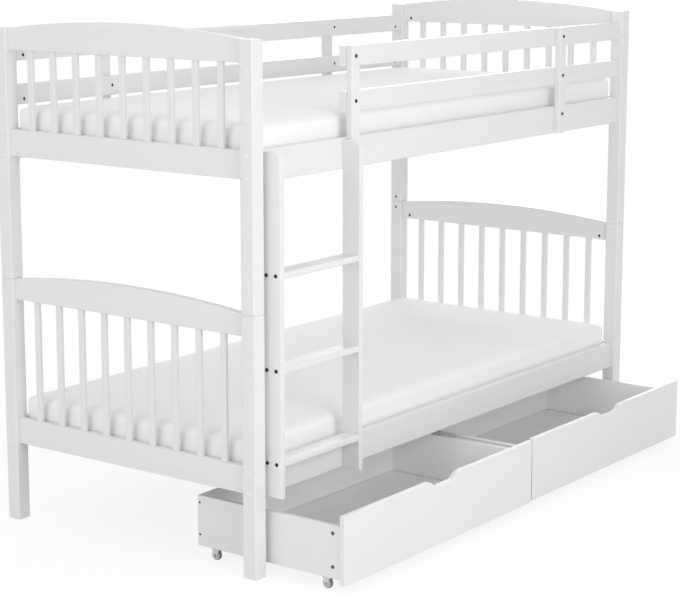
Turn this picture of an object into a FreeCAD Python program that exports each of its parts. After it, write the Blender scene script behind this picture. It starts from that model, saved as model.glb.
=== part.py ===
import FreeCAD, Part
import Sketcher
import os
import re

# White bunk bed with two drawers on casters.
# +X runs along the bed towards its right-hand end, -Y points to the front (ladder and drawers),
# +Z is up. The origin lies on the floor, in the middle of the bed with its drawers part open.
# All sizes are in millimetres.

# Driving sizes

SIZES = {
    "bed_length": 2096,
    "bed_width": 990,
    "post_side": 47,
    "post_round": 4,
    "lower_height": 757,
    "upper_height": 754,
    "dowel_diameter": 10,
    "dowel_length": 80,
    "dowel_clearance": 0.1,
    "side_rail_height": 90,
    "side_rail_thick": 25,
    "side_rail_setback": 15,
    "board_ease": 2,
    "lower_rail_top": 322,
    "upper_rail_rise": 453,
    "end_rail_height": 80,
    "end_rail_thick": 22,
    "end_rail_setback": 12.5,
    "arch_end_height": 64,
    "arch_rise": 28,
    "spindle_width": 20,
    "spindle_thick": 12,
    "guard_height": 60,
    "guard_thick": 25,
    "guard_top_drop": 39,
    "entry_gap": 396,
    "upright_width": 40,
    "upright_thick": 20,
    "ledger_width": 20,
    "ledger_height": 25,
    "ledger_rise": 3,
    "slat_width": 70,
    "slat_thick": 18,
    "slat_end_gap": 4,
    "mattress_thick": 110,
    "mattress_crown": 6,
    "mattress_side_gap": 5,
    "mattress_end_gap": 13.5,
    "mattress_corner": 45,
    "mattress_draw_in": 3,
    "ladder_gap": 11,
    "ladder_clearance": 0.5,
    "stringer_thick": 18,
    "stringer_depth": 62,
    "stringer_top_drop": 4,
    "stringer_round": 26,
    "rung_depth": 56,
    "rung_thick": 20,
    "rung_back_gap": 3,
    "first_rung_height": 329.5,
    "rung_pitch": 267.5,
    "drawer_depth": 533,
    "drawer_end_gap_left": 11,
    "drawer_end_gap_right": 2,
    "drawer_middle_gap": 19,
    "drawer_pull_left": 265,
    "drawer_pull_right": 257,
    "drawer_top_gap": 10,
    "drawer_floor_gap": 22,
    "drawer_side_drop": 34,
    "drawer_front_thick": 16,
    "drawer_front_overhang": 5,
    "drawer_wall_thick": 16,
    "drawer_bottom_thick": 6,
    "grip_width": 150,
    "grip_depth": 19,
    "grip_run": 31,
    "grip_round": 24,
    "wheel_diameter": 30,
    "wheel_width": 12,
    "axle_diameter": 4,
    "axle_clearance": 0.05,
    "cheek_gap": 0.8,
    "cheek_thick": 1.5,
    "cheek_foot": 11,
    "cheek_foot_round": 5,
    "fork_plate_thick": 2,
    "fork_plate_length": 34,
    "fork_top_gap": 4,
    "caster_inset": 14,
    "front_caster_inset": 54,
    "rear_caster_inset": 60,
    "bolt_head_diameter": 12,
    "bolt_head_height": 2,
    "bolt_rise": 12,
    "bolt_spread": 64,
}
SPINDLE_COUNT = 9
SLAT_COUNT = 13
RUNG_COUNT = 3
BOLT_HEAD_SIDES = 10

doc = FreeCAD.newDocument("bunk_bed")
sheet = doc.addObject("Spreadsheet::Sheet", "Sizes")
for row, (alias, value) in enumerate(SIZES.items(), start=1):
    sheet.set("A%d" % row, alias)
    sheet.set("B%d" % row, str(value))
    sheet.setAlias("B%d" % row, alias)
doc.recompute()

# Places that several pieces share, as formulas of the driving sizes

LEFT = FRONT = -1
RIGHT = REAR = 1
SIDES = {LEFT: "left", RIGHT: "right"}
FACES = {FRONT: "front", REAR: "rear"}

POST_INNER_X = "(bed_length / 2 - post_side)"
POST_INNER_Y = "(bed_width / 2 - post_side)"
TOTAL_HEIGHT = "(lower_height + upper_height)"
RAIL_TOP = {"lower": "lower_rail_top", "upper": "(lower_height + upper_rail_rise)"}
LEVEL_TOP = {"lower": "lower_height", "upper": TOTAL_HEIGHT}
RAIL_OUTER_Y = "(bed_width / 2 - side_rail_setback)"
RAIL_INNER_Y = "(bed_width / 2 - side_rail_setback - side_rail_thick)"
END_OUTER_X = "(bed_length / 2 - end_rail_setback)"
END_INNER_X = "(bed_length / 2 - end_rail_setback - end_rail_thick)"
GUARD_END_X = f"({POST_INNER_X} - entry_gap)"
GUARD_GAP = (f"(({TOTAL_HEIGHT} - guard_top_drop - {RAIL_TOP['upper']}"
             " - 2 * guard_height) / 2)")
DRAWER_TOP = "(lower_rail_top - side_rail_height - drawer_top_gap)"
DRAWER_FLOOR = "(wheel_diameter + fork_top_gap + fork_plate_thick)"
DRAWER_WIDTH = (f"((2 * {POST_INNER_X} - drawer_end_gap_left - drawer_end_gap_right"
                " - drawer_middle_gap) / 2)")
# The drawers reach further forward than the bed reaches back: half of that centres the whole.
CENTRE_SHIFT = "(drawer_pull_left + side_rail_setback - upright_thick) / 2"

WORDS = re.compile("[a-z_]+")


def formula(text):
    """Turn each size name in a formula into its spreadsheet cell."""
    return WORDS.sub(lambda found: "Sizes." + found.group(), text)


def bind(thing, sizes):
    for name, text in sizes.items():
        thing.setExpression(name, formula(text))


def move(thing, place):
    """Put a piece at a place given from the bed's own centre on the floor."""
    along, across, up = place
    bind(thing, {
        "Placement.Base.x": along,
        "Placement.Base.y": f"{across} + {CENTRE_SHIFT}",
        "Placement.Base.z": up,
    })


def low(side, outer, size):
    """Lower coordinate of a piece whose outer face lies at -outer or +outer."""
    return f"-({outer})" if side < 0 else f"({outer}) - ({size})"


# Ways of making a piece

nodes = []


def keep(thing, label):
    thing.Label = label
    nodes.append(thing)
    return thing


def plain_board(name, place, size):
    board = doc.addObject("Part::Box", name)
    bind(board, dict(zip(("Length", "Width", "Height"), size)))
    move(board, place)
    return board


def parallel_edges(shape, direction):
    """Names of the straight edges that run along a direction."""
    names = []
    for number, edge in enumerate(shape.Edges, start=1):
        if edge.Curve.TypeId == "Part::GeomLine":
            if abs(edge.Curve.Direction.dot(direction)) > 0.999:
                names.append("Edge%d" % number)
    return names


ALONG = {
    "x": FreeCAD.Vector(1, 0, 0),
    "y": FreeCAD.Vector(0, 1, 0),
    "z": FreeCAD.Vector(0, 0, 1),
}


def ease(body, blank, edges):
    """Take the sharpness off some edges of a body's last feature."""
    eased = body.newObject("PartDesign::Chamfer", body.Name + "_eased")
    eased.Base = (blank, edges)
    bind(eased, {"Size": "board_ease"})


def eased_board(name, place, size, grain):
    """A board whose four long edges are eased."""
    body = doc.addObject("PartDesign::Body", name)
    blank = body.newObject("PartDesign::AdditiveBox", name + "_blank")
    bind(blank, dict(zip(("Length", "Width", "Height"), size)))
    doc.recompute()
    ease(body, blank, parallel_edges(blank.Shape, ALONG[grain]))
    move(body, place)
    return body


def origin_plane(body, role):
    return next(plane for plane in body.Origin.OriginFeatures if plane.Role == role)


def outline(body, plane, corners):
    """A closed sketch of straight lines. Each corner is a pair of formulas, from zero up."""
    sketch = body.newObject("Sketcher::SketchObject", body.Name + "_outline")
    sketch.AttachmentSupport = (origin_plane(body, plane), [""])
    sketch.MapMode = "FlatFace"
    count = len(corners)
    drawn = [FreeCAD.Vector(10 * step, step * step, 0) for step in range(count)]
    for step in range(count):
        sketch.addGeometry(Part.LineSegment(drawn[step], drawn[(step + 1) % count]))
    for step in range(count):
        sketch.addConstraint(
            Sketcher.Constraint("Coincident", step, 2, (step + 1) % count, 1))
    for step, corner in enumerate(corners):
        for kind, axis, text in zip(("DistanceX", "DistanceY"), (-2, -1), corner):
            if text == "0":
                sketch.addConstraint(Sketcher.Constraint("PointOnObject", step, 1, axis))
            else:
                index = sketch.addConstraint(Sketcher.Constraint(kind, -1, 1, step, 1, 10.0))
                bind(sketch, {"Constraints[%d]" % index: text})
    return sketch


def pad(body, sketch, length):
    block = body.newObject("PartDesign::Pad", body.Name + "_pad")
    block.Profile = sketch
    bind(block, {"Length": length})
    return block


TURN = {
    "x": FreeCAD.Rotation(ALONG["y"], 90),
    "y": FreeCAD.Rotation(ALONG["x"], -90),
    "z": FreeCAD.Rotation(),
}


def round_bar(name, axis, place, length, diameter):
    bar = doc.addObject("Part::Cylinder", name)
    bar.Placement = FreeCAD.Placement(FreeCAD.Vector(), TURN[axis])
    bind(bar, {"Radius": f"({diameter}) / 2", "Height": length})
    move(bar, place)
    return bar


def cut(name, base, tool):
    result = doc.addObject("Part::Cut", name)
    result.Base = base
    result.Tool = tool
    return result


def group(name, pieces):
    bundle = doc.addObject("Part::Compound", name)
    bundle.Links = pieces
    return bundle


# Posts, in two lengths, with the dowel that joins them

def make_post(level, side, face):
    name = f"{level}_{FACES[face]}_{SIDES[side]}_post"
    base, height = ("0", "lower_height") if level == "lower" else ("lower_height", "upper_height")
    body = doc.addObject("PartDesign::Body", name + "_bar")
    blank = body.newObject("PartDesign::AdditiveBox", name + "_blank")
    bind(blank, {"Length": "post_side", "Width": "post_side", "Height": height})
    doc.recompute()
    eased = body.newObject("PartDesign::Fillet", name + "_eased")
    eased.Base = (blank, parallel_edges(blank.Shape, ALONG["z"]))
    bind(eased, {"Radius": "post_round"})
    move(body, (low(side, "bed_length / 2", "post_side"),
                low(face, "bed_width / 2", "post_side"), base))
    socket = round_bar(name + "_socket", "z", dowel_place(side, face),
                       "dowel_length + dowel_clearance",
                       "dowel_diameter + 2 * dowel_clearance")
    return keep(cut(name, body, socket), name)


def dowel_place(side, face):
    return (f"{side} * (bed_length / 2 - post_side / 2)",
            f"{face} * (bed_width / 2 - post_side / 2)",
            "lower_height - dowel_length / 2")


def make_dowels():
    pins = []
    for side in SIDES:
        for face in FACES:
            pins.append(round_bar(f"{FACES[face]}_{SIDES[side]}_dowel", "z",
                                  dowel_place(side, face), "dowel_length", "dowel_diameter"))
    keep(group("post_dowels", pins), "post_dowels")


for level in RAIL_TOP:
    for side in SIDES:
        for face in FACES:
            make_post(level, side, face)
make_dowels()


# Side rails with their ledgers, slats and mattress

def make_side_rail(level, face):
    name = f"{level}_{FACES[face]}_side_rail"
    place = (f"-{POST_INNER_X}", low(face, RAIL_OUTER_Y, "side_rail_thick"),
             f"{RAIL_TOP[level]} - side_rail_height")
    size = (f"2 * {POST_INNER_X}", "side_rail_thick", "side_rail_height")
    keep(eased_board(name, place, size, "x"), name)


def ledger_top(level):
    return f"({RAIL_TOP[level]} - side_rail_height + ledger_rise + ledger_height)"


def make_ledgers():
    strips = []
    for level in RAIL_TOP:
        for face in FACES:
            place = (f"-{POST_INNER_X}", low(face, RAIL_INNER_Y, "ledger_width"),
                     f"{ledger_top(level)} - ledger_height")
            size = (f"2 * {POST_INNER_X}", "ledger_width", "ledger_height")
            strips.append(plain_board(f"{level}_{FACES[face]}_ledger", place, size))
    keep(group("slat_ledgers", strips), "slat_ledgers")


def make_slats(level):
    length = f"(2 * {RAIL_INNER_Y} - 2 * slat_end_gap)"
    space = f"((2 * {END_INNER_X} - {SLAT_COUNT} * slat_width) / {SLAT_COUNT + 1})"
    slats = []
    for number in range(SLAT_COUNT):
        along = f"-{END_INNER_X} + {space} + {number} * (slat_width + {space})"
        place = (along, f"-{length} / 2", ledger_top(level))
        slats.append(plain_board(f"{level}_slat_{number + 1}", place,
                                 ("slat_width", length, "slat_thick")))
    keep(group(f"{level}_slats", slats), f"{level}_slats")


# Each ring of a mattress: share of its thickness, how far its outline is drawn in from the full
# size as a share of the thickness, and share of the crown.
MATTRESS_RINGS = [
    (0.00, 0.12, 0.0),
    (0.12, 0.00, 0.0),
    (0.80, 0.00, 0.0),
    (0.96, 0.09, 0.0),
    (1.00, 0.35, 0.4),
    (1.00, 0.80, 1.0),
]


def mattress_ring(half_length, half_width, height):
    """One closed outline: rounded corners, with sides that pull in between them."""
    corner = sheet.mattress_corner
    draw = sheet.mattress_draw_in
    bend = corner * (1 - 0.5 ** 0.5)
    long_end = half_length - corner
    wide_end = half_width - corner
    edges = []
    for turn in range(4):
        reach, end, span, side = ((half_length, long_end, half_width, wide_end) if turn % 2 == 0
                                  else (half_width, wide_end, half_length, long_end))
        points = [
            FreeCAD.Vector(reach, -side, height),
            FreeCAD.Vector(reach - draw, 0, height),
            FreeCAD.Vector(reach, side, height),
            FreeCAD.Vector(reach - bend, span - bend, height),
            FreeCAD.Vector(end, span, height),
        ]
        quarter = FreeCAD.Rotation(ALONG["z"], 90 * turn)
        points = [quarter.multVec(point) for point in points]
        edges.append(Part.Arc(points[0], points[1], points[2]).toShape())
        edges.append(Part.Arc(points[2], points[3], points[4]).toShape())
    return Part.Wire(edges)


def make_mattress(level):
    length = sheet.bed_length - 2 * (sheet.end_rail_setback + sheet.end_rail_thick)
    width = sheet.bed_width - 2 * (sheet.side_rail_setback + sheet.side_rail_thick)
    half_length = length / 2 - sheet.mattress_end_gap
    half_width = width / 2 - sheet.mattress_side_gap
    rings = []
    for share, drawn, crown in MATTRESS_RINGS:
        inset = drawn * sheet.mattress_thick
        height = share * sheet.mattress_thick + crown * sheet.mattress_crown
        rings.append(mattress_ring(half_length - inset, half_width - inset, height))
    mattress = doc.addObject("Part::Feature", f"{level}_mattress")
    mattress.Shape = Part.makeLoft(rings, True, True)
    move(mattress, ("0", "0", f"{ledger_top(level)} + slat_thick"))
    keep(mattress, f"{level}_mattress")


for level in RAIL_TOP:
    for face in FACES:
        make_side_rail(level, face)
    make_slats(level)
    make_mattress(level)
make_ledgers()


# End panels: an arched top rail, a straight bottom rail and the spindles between them

def make_top_rail(level, side):
    """The arch is drawn in the rail's own outline: straight below, one wide arc above."""
    name = f"{level}_{SIDES[side]}_top_rail"
    body = doc.addObject("PartDesign::Body", name)
    sketch = body.newObject("Sketcher::SketchObject", name + "_outline")
    sketch.AttachmentSupport = (origin_plane(body, "YZ_Plane"), [""])
    sketch.MapMode = "FlatFace"
    span = sheet.bed_width - 2 * sheet.post_side
    ends = sheet.arch_end_height
    corners = [FreeCAD.Vector(0, ends, 0), FreeCAD.Vector(0, 0, 0),
               FreeCAD.Vector(span, 0, 0), FreeCAD.Vector(span, ends, 0)]
    crest = FreeCAD.Vector(span / 2, ends + sheet.arch_rise, 0)
    for step in range(3):
        sketch.addGeometry(Part.LineSegment(corners[step], corners[step + 1]))
    arc = sketch.addGeometry(Part.Arc(corners[3], crest, corners[0]))
    for first, second in ((0, 1), (1, 2)):
        sketch.addConstraint(Sketcher.Constraint("Coincident", first, 2, second, 1))
    sketch.addConstraint(Sketcher.Constraint("Coincident", 2, 2, arc, 1))
    sketch.addConstraint(Sketcher.Constraint("Coincident", 0, 1, arc, 2))
    sketch.addConstraint(Sketcher.Constraint("Vertical", 0))
    sketch.addConstraint(Sketcher.Constraint("Horizontal", 1))
    sketch.addConstraint(Sketcher.Constraint("Vertical", 2))
    sketch.addConstraint(Sketcher.Constraint("Equal", 0, 2))
    sketch.addConstraint(Sketcher.Constraint("Coincident", 0, 2, -1, 1))
    width = sketch.addConstraint(Sketcher.Constraint("Distance", 1, span))
    height = sketch.addConstraint(Sketcher.Constraint("Distance", 0, ends))
    radius = sketch.addConstraint(Sketcher.Constraint("Radius", arc, sketch.Geometry[arc].Radius))
    bind(sketch, {
        "Constraints[%d]" % width: f"2 * {POST_INNER_Y}",
        "Constraints[%d]" % height: "arch_end_height",
        "Constraints[%d]" % radius: (f"({POST_INNER_Y} * {POST_INNER_Y} + arch_rise * arch_rise)"
                                     " / (2 * arch_rise)"),
    })
    board = pad(body, sketch, "end_rail_thick")
    doc.recompute()
    ease(body, board, ["Edge%d" % number for number, edge in enumerate(board.Shape.Edges, start=1)
                       if edge.BoundBox.YLength > span / 2])
    move(body, (low(side, END_OUTER_X, "end_rail_thick"), f"-{POST_INNER_Y}",
                f"{LEVEL_TOP[level]} - arch_end_height"))
    keep(body, name)


def make_bottom_rail(level, side):
    name = f"{level}_{SIDES[side]}_bottom_rail"
    place = (low(side, END_OUTER_X, "end_rail_thick"), f"-{POST_INNER_Y}",
             f"{RAIL_TOP[level]} - end_rail_height")
    size = ("end_rail_thick", f"2 * {POST_INNER_Y}", "end_rail_height")
    keep(eased_board(name, place, size, "y"), name)


def make_spindles(level, side):
    space = f"((2 * {POST_INNER_Y} - {SPINDLE_COUNT} * spindle_width) / {SPINDLE_COUNT + 1})"
    along = low(side, f"({END_OUTER_X} - end_rail_thick / 2 + spindle_thick / 2)", "spindle_thick")
    height = f"({LEVEL_TOP[level]} - arch_end_height - {RAIL_TOP[level]})"
    spindles = []
    for number in range(SPINDLE_COUNT):
        across = f"-{POST_INNER_Y} + {space} + {number} * (spindle_width + {space})"
        spindles.append(plain_board(f"{level}_{SIDES[side]}_spindle_{number + 1}",
                                    (along, across, RAIL_TOP[level]),
                                    ("spindle_thick", "spindle_width", height)))
    keep(group(f"{level}_{SIDES[side]}_spindles", spindles), f"{level}_{SIDES[side]}_spindles")


for level in RAIL_TOP:
    for side in SIDES:
        make_top_rail(level, side)
        make_bottom_rail(level, side)
        make_spindles(level, side)


# Guards: two boards on each long side, held by uprights on their outer faces

def guard_bottom(number):
    return f"({RAIL_TOP['upper']} + {GUARD_GAP} + {number} * (guard_height + {GUARD_GAP}))"


def make_guard_board(face, number, label):
    name = f"{FACES[face]}_guard_{label}_board"
    start = GUARD_END_X if face == FRONT else POST_INNER_X
    place = (f"-{start}", low(face, RAIL_OUTER_Y, "guard_thick"), guard_bottom(number))
    size = (f"{start} + {POST_INNER_X}", "guard_thick", "guard_height")
    keep(eased_board(name, place, size, "x"), name)


def make_guard_uprights(face):
    bottom = f"({RAIL_TOP['upper']} - side_rail_height)"
    height = f"{guard_bottom(1)} + guard_height - {bottom}"
    uprights = []
    for side in SIDES:
        place = (low(side, GUARD_END_X, "upright_width"),
                 low(face, f"({RAIL_OUTER_Y} + upright_thick)", "upright_thick"), bottom)
        uprights.append(eased_board(f"{FACES[face]}_{SIDES[side]}_upright", place,
                                      ("upright_width", "upright_thick", height), "z"))
    keep(group(f"{FACES[face]}_guard_uprights", uprights), f"{FACES[face]}_guard_uprights")


for face in FACES:
    for number, label in enumerate(("lower", "upper")):
        make_guard_board(face, number, label)
    make_guard_uprights(face)


# Ladder: fixed upright in the entry, against the outer faces of the front side rails

LADDER_LEFT = f"(-{POST_INNER_X} + ladder_gap)"
LADDER_RIGHT = f"(-{GUARD_END_X} - ladder_clearance)"
LADDER_BOTTOM = "(lower_rail_top - side_rail_height)"


def make_stringer(side):
    """The upper corner that faces the climber is rounded."""
    name = f"ladder_{SIDES[side]}_stringer"
    height = f"({RAIL_TOP['upper']} - stringer_top_drop - {LADDER_BOTTOM})"
    body = doc.addObject("PartDesign::Body", name)
    blank = body.newObject("PartDesign::AdditiveBox", name + "_blank")
    bind(blank, {"Length": "stringer_thick", "Width": "stringer_depth", "Height": height})
    doc.recompute()
    middle = blank.Shape.BoundBox.Center
    centres = {edge: blank.Shape.getElement(edge).BoundBox.Center
               for edge in parallel_edges(blank.Shape, ALONG["x"])}
    crown = body.newObject("PartDesign::Fillet", name + "_crown")
    crown.Base = (blank, [edge for edge, centre in centres.items()
                          if centre.z > middle.z and centre.y < middle.y])
    bind(crown, {"Radius": "stringer_round"})
    doc.recompute()
    ease(body, crown, parallel_edges(crown.Shape, ALONG["z"]))
    along = LADDER_LEFT if side == LEFT else f"{LADDER_RIGHT} - stringer_thick"
    move(body, (along, f"-{RAIL_OUTER_Y} - stringer_depth", LADDER_BOTTOM))
    keep(body, name)


def make_rungs():
    clear = f"({LADDER_RIGHT} - {LADDER_LEFT} - 2 * stringer_thick)"
    rungs = []
    for number in range(RUNG_COUNT):
        place = (f"{LADDER_LEFT} + stringer_thick", f"-{RAIL_OUTER_Y} - rung_back_gap - rung_depth",
                 f"first_rung_height + {number} * rung_pitch - rung_thick / 2")
        rungs.append(eased_board(f"rung_{number + 1}", place,
                                   (clear, "rung_depth", "rung_thick"), "x"))
    keep(group("ladder_rungs", rungs), "ladder_rungs")


for side in SIDES:
    make_stringer(side)
make_rungs()


# Drawers

DRAWER_LEFT = {
    LEFT: f"(-{POST_INNER_X} + drawer_end_gap_left)",
    RIGHT: f"({POST_INNER_X} - drawer_end_gap_right - {DRAWER_WIDTH})",
}
DRAWER_FRONT = {
    LEFT: "(-bed_width / 2 - drawer_pull_left)",
    RIGHT: "(-bed_width / 2 - drawer_pull_right)",
}
WALL_HEIGHT = f"({DRAWER_TOP} - drawer_side_drop - {DRAWER_FLOOR})"
BOX_DEPTH = "(drawer_depth - drawer_front_thick)"


def make_drawer_front(side):
    """A panel with a shallow grip cut into the middle of its top edge."""
    name = f"{SIDES[side]}_drawer_front"
    height = f"({DRAWER_TOP} - drawer_floor_gap)"
    middle = f"({DRAWER_WIDTH} / 2)"
    body = doc.addObject("PartDesign::Body", name)
    corners = [
        ("0", "0"),
        (DRAWER_WIDTH, "0"),
        (DRAWER_WIDTH, height),
        (f"{middle} + grip_width / 2", height),
        (f"{middle} + grip_width / 2 - grip_run", f"{height} - grip_depth"),
        (f"{middle} - grip_width / 2 + grip_run", f"{height} - grip_depth"),
        (f"{middle} - grip_width / 2", height),
        ("0", height),
    ]
    panel = pad(body, outline(body, "XZ_Plane", corners), "drawer_front_thick")
    panel.Reversed = True
    doc.recompute()
    centre = panel.Shape.BoundBox.Center.x
    grip = [edge for edge in parallel_edges(panel.Shape, ALONG["y"])
            if abs(panel.Shape.getElement(edge).BoundBox.Center.x - centre) < sheet.grip_width]
    flowing = body.newObject("PartDesign::Fillet", name + "_flowing")
    flowing.Base = (panel, grip)
    bind(flowing, {"Radius": "grip_round"})
    move(body, (DRAWER_LEFT[side], DRAWER_FRONT[side], "drawer_floor_gap"))
    keep(body, name)


def make_drawer_box(side):
    name = f"{SIDES[side]}_drawer"
    start = f"({DRAWER_LEFT[side]} + drawer_front_overhang)"
    width = f"({DRAWER_WIDTH} - 2 * drawer_front_overhang)"
    across = f"{DRAWER_FRONT[side]} + drawer_front_thick"
    walls = []
    for wall, along in (("left", start), ("right", f"{start} + {width} - drawer_wall_thick")):
        walls.append(plain_board(f"{name}_{wall}_wall", (along, across, DRAWER_FLOOR),
                                 ("drawer_wall_thick", BOX_DEPTH, WALL_HEIGHT)))
    keep(group(f"{name}_sides", walls), f"{name}_sides")
    inner = f"({width} - 2 * drawer_wall_thick)"
    back = plain_board(f"{name}_back",
                       (f"{start} + drawer_wall_thick",
                        f"{across} + {BOX_DEPTH} - drawer_wall_thick", DRAWER_FLOOR),
                       (inner, "drawer_wall_thick", WALL_HEIGHT))
    keep(back, f"{name}_back")
    bottom = plain_board(f"{name}_bottom",
                         (f"{start} + drawer_wall_thick", across, DRAWER_FLOOR),
                         (inner, f"{BOX_DEPTH} - drawer_wall_thick", "drawer_bottom_thick"))
    keep(bottom, f"{name}_bottom")


# Casters: each wheel turns on a pin held by the two cheeks of a fork

FORK_INSIDE = "(wheel_width + 2 * cheek_gap)"
FORK_OUTSIDE = f"({FORK_INSIDE} + 2 * cheek_thick)"
CHEEK_FOOT = "(wheel_diameter / 2 - cheek_foot / 2)"


def caster_places(side):
    """Name and centre of each wheel of one drawer."""
    start = f"({DRAWER_LEFT[side]} + drawer_front_overhang)"
    width = f"({DRAWER_WIDTH} - 2 * drawer_front_overhang)"
    across = f"({DRAWER_FRONT[side]} + drawer_front_thick)"
    return {
        "front_left": (f"{start} + caster_inset", f"{across} + front_caster_inset"),
        "front_right": (f"{start} + {width} - caster_inset", f"{across} + front_caster_inset"),
        "rear_left": (f"{start} + caster_inset", f"{across} + {BOX_DEPTH} - rear_caster_inset"),
        "rear_right": (f"{start} + {width} - caster_inset",
                       f"{across} + {BOX_DEPTH} - rear_caster_inset"),
    }


def make_cheek(name, along, across):
    """A plate that narrows from the fork's top down to a rounded foot round the axle."""
    body = doc.addObject("PartDesign::Body", name)
    height = f"({DRAWER_FLOOR} - fork_plate_thick - {CHEEK_FOOT})"
    foot = "((fork_plate_length - cheek_foot) / 2)"
    corners = [("0", height), (foot, "0"), (f"{foot} + cheek_foot", "0"),
               ("fork_plate_length", height)]
    plate = pad(body, outline(body, "YZ_Plane", corners), "cheek_thick")
    doc.recompute()
    feet = [edge for edge in parallel_edges(plate.Shape, ALONG["x"])
            if plate.Shape.getElement(edge).BoundBox.ZMax < plate.Shape.BoundBox.ZMax / 2]
    rounded = body.newObject("PartDesign::Fillet", name + "_foot")
    rounded.Base = (plate, feet)
    bind(rounded, {"Radius": "cheek_foot_round"})
    move(body, (along, f"{across} - fork_plate_length / 2", CHEEK_FOOT))
    return body


def make_fork(name, along, across):
    plate = plain_board(f"{name}_plate",
                        (f"{along} - {FORK_OUTSIDE} / 2", f"{across} - fork_plate_length / 2",
                         f"{DRAWER_FLOOR} - fork_plate_thick"),
                        (FORK_OUTSIDE, "fork_plate_length", "fork_plate_thick"))
    cheeks = [make_cheek(f"{name}_left_cheek", f"{along} - {FORK_OUTSIDE} / 2", across),
              make_cheek(f"{name}_right_cheek", f"{along} + {FORK_INSIDE} / 2", across)]
    bent = doc.addObject("Part::MultiFuse", f"{name}_bent")
    bent.Shapes = [plate] + cheeks
    bore = round_bar(f"{name}_bore", "x",
                     (f"{along} - {FORK_OUTSIDE} / 2", across, "wheel_diameter / 2"),
                     FORK_OUTSIDE, "axle_diameter")
    return cut(name, bent, bore)


def make_wheel(name, along, across):
    """A wheel turned from its half section, with a bore that runs on the axle."""
    body = doc.addObject("PartDesign::Body", name)
    bore = "(axle_diameter / 2 + axle_clearance)"
    tread = "(wheel_diameter / 2)"
    corners = [("0", bore), ("0", tread), ("wheel_width", tread), ("wheel_width", bore)]
    turned = body.newObject("PartDesign::Revolution", name + "_turned")
    turned.Profile = outline(body, "XZ_Plane", corners)
    turned.ReferenceAxis = (turned.Profile[0], ["H_Axis"])
    move(body, (f"{along} - wheel_width / 2", across, "wheel_diameter / 2"))
    keep(body, name)


def make_casters(side):
    name = f"{SIDES[side]}_drawer"
    forks = []
    pins = []
    for corner, (along, across) in caster_places(side).items():
        forks.append(make_fork(f"{name}_{corner}_fork", along, across))
        pins.append(round_bar(f"{name}_{corner}_axle", "x",
                              (f"{along} - {FORK_OUTSIDE} / 2", across, "wheel_diameter / 2"),
                              FORK_OUTSIDE, "axle_diameter"))
        make_wheel(f"{name}_{corner}_wheel", along, across)
    keep(group(f"{name}_caster_forks", forks), f"{name}_caster_forks")
    keep(group(f"{name}_caster_axles", pins), f"{name}_caster_axles")


for side in SIDES:
    make_drawer_front(side)
    make_drawer_box(side)
    make_casters(side)


# Bolt heads on the outer faces of the posts, in line with the rails and boards behind them.
# There are many, so each is kept to a few flat sides.

def make_bolts():
    heads = []

    def add(name, axis, place):
        head = doc.addObject("Part::Prism", name)
        head.Placement = FreeCAD.Placement(FreeCAD.Vector(), TURN[axis])
        head.Polygon = BOLT_HEAD_SIDES
        bind(head, {"Circumradius": "bolt_head_diameter / 2", "Height": "bolt_head_height"})
        move(head, place)
        heads.append(head)

    rail_middle = f"({RAIL_OUTER_Y} - side_rail_thick / 2)"
    board_middle = f"({RAIL_OUTER_Y} - guard_thick / 2)"
    end_middle = f"({END_OUTER_X} - end_rail_thick / 2)"
    for side in SIDES:
        outside_x = low(side, "(bed_length / 2 + bolt_head_height)", "bolt_head_height")
        for face in FACES:
            corner = f"{FACES[face]}_{SIDES[side]}"
            outside_y = low(face, "(bed_width / 2 + bolt_head_height)", "bolt_head_height")
            for level in RAIL_TOP:
                middle = f"{RAIL_TOP[level]} - side_rail_height / 2"
                for sign in ("-", "+"):
                    word = "low" if sign == "-" else "high"
                    add(f"{level}_{corner}_rail_bolt_{word}", "x",
                        (outside_x, f"{face} * {rail_middle}", f"{middle} {sign} bolt_spread / 2"))
                add(f"{level}_{corner}_bottom_rail_bolt", "y",
                    (f"{side} * {end_middle}", outside_y,
                     f"{RAIL_TOP[level]} - end_rail_height / 2"))
                add(f"{level}_{corner}_top_rail_bolt", "y",
                    (f"{side} * {end_middle}", outside_y,
                     f"{LEVEL_TOP[level]} - arch_end_height + bolt_rise"))
            for number in range(2):
                add(f"{corner}_guard_bolt_{number + 1}", "x",
                    (outside_x, f"{face} * {board_middle}", f"{guard_bottom(number)} + bolt_rise"))
    keep(group("post_bolts", heads), "post_bolts")


make_bolts()

# Check every object, then write one file for each sub-part

doc.recompute()
for thing in doc.Objects:
    if "Invalid" in thing.State or "Error" in thing.State:
        raise RuntimeError(f"{thing.Label} failed: {thing.State}")
os.makedirs("parts", exist_ok=True)
for node in nodes:
    if node.Shape.isNull() or not node.Shape.isValid():
        raise RuntimeError(f"{node.Label} has no valid shape")
for node in nodes:
    node.Shape.exportStep(f"parts/{node.Label}.step")
print(len(nodes), "sub-parts written")
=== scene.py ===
# %% [markdown]
# # A white bunk bed with two rolling drawers
# The bed is solid softwood under white satin lacquer: square posts in two lengths, rails and boards
# bolted between them, slatted ends with an arched top rail, a fixed ladder, and two drawers that
# roll out on casters. The frame loaded here holds every piece at its real size and place. This
# lesson dresses it: each board is rebuilt with the soft edges that sanding leaves, the mattresses
# are blown up as cloth, and every surface gets its finish.

# %% Load the frame
import math

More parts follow.
